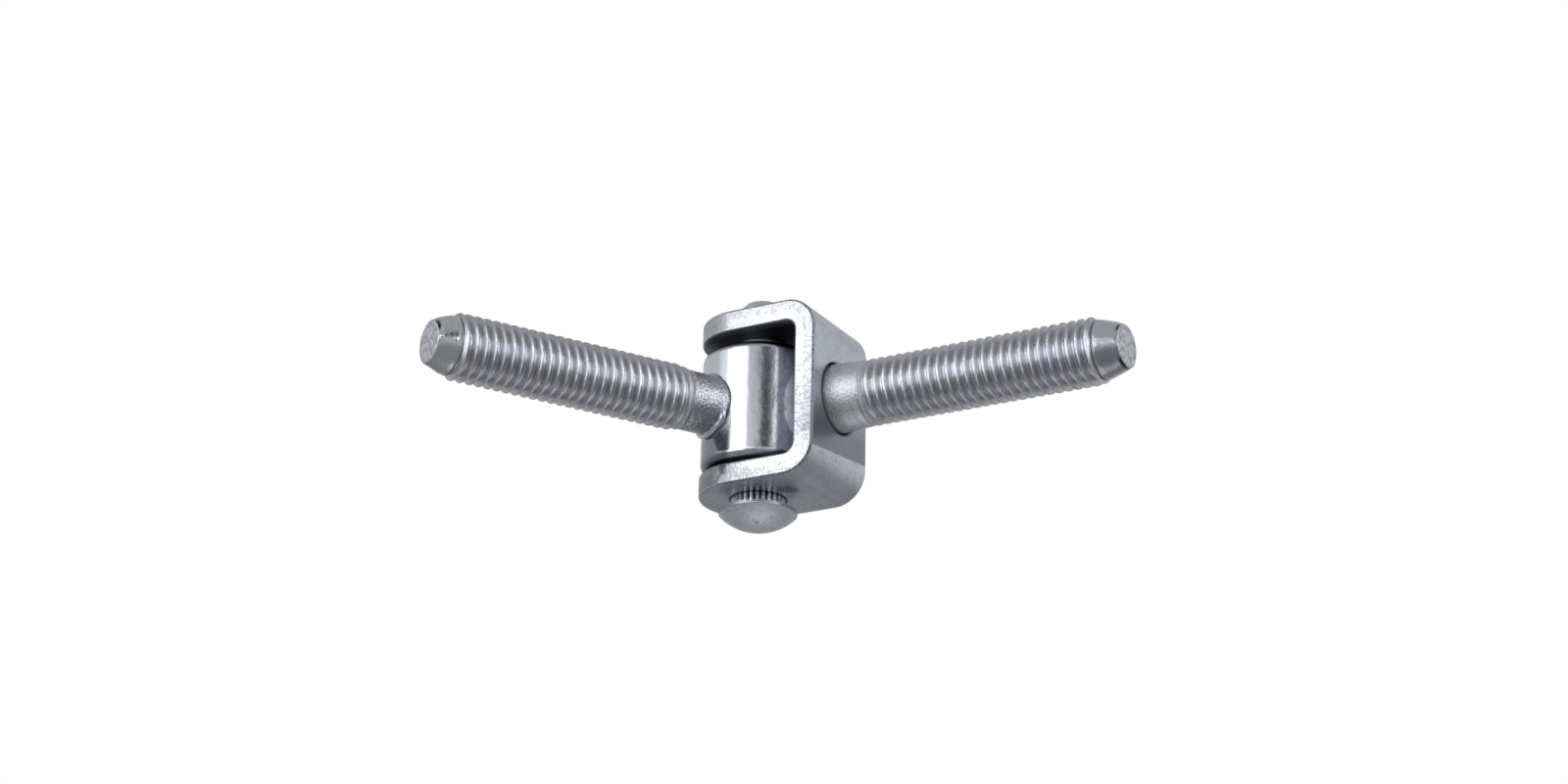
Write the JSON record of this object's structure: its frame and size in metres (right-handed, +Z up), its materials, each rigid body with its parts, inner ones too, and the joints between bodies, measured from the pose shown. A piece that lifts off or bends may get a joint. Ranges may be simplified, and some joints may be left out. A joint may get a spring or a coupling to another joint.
{
  "type": "screw-in gate hinge",
  "caption": "Screw-in gate hinge: a folded U-bracket and a turned barrel, each carrying a threaded stud, turn on a domed pin with a knurled neck.",
  "frame": {"origin": "on the bracket stud's axis, where its thread begins next to the plain collar", "axes": "+X along the bracket stud towards its point, +Z up along the hinge pin away from its domed head"},
  "size_m": [0.1078, 0.0691, 0.043],
  "materials": {
    "folded_bar": "satin zinc plate over sheared and folded flat bar",
    "rolled_stud": "zinc plate over a rolled thread",
    "turned_barrel": "bright zinc plate over a turned surface",
    "headed_pin": "satin zinc plate over a cold-headed pin"
  },
  "bodies": {
    "bracket": {"u_bracket": "folded_bar", "bracket_stud": "rolled_stud"},
    "barrel": {"hinge_barrel": "turned_barrel", "barrel_stud": "rolled_stud"},
    "pin": {"hinge_pin": "headed_pin"}
  },
  "joints": [
    {"name": "gate_swing", "type": "hinge", "parent": "bracket", "child": "barrel", "pos_m": [-0.0221, 0, 0], "axis": [0, 0, 1], "range_deg": [-177, 57]},
    {"name": "pin_slide", "type": "slide", "parent": "bracket", "child": "pin", "axis": [0, 0, 1], "range_m": [-0.038, 0.0023]}
  ]
}
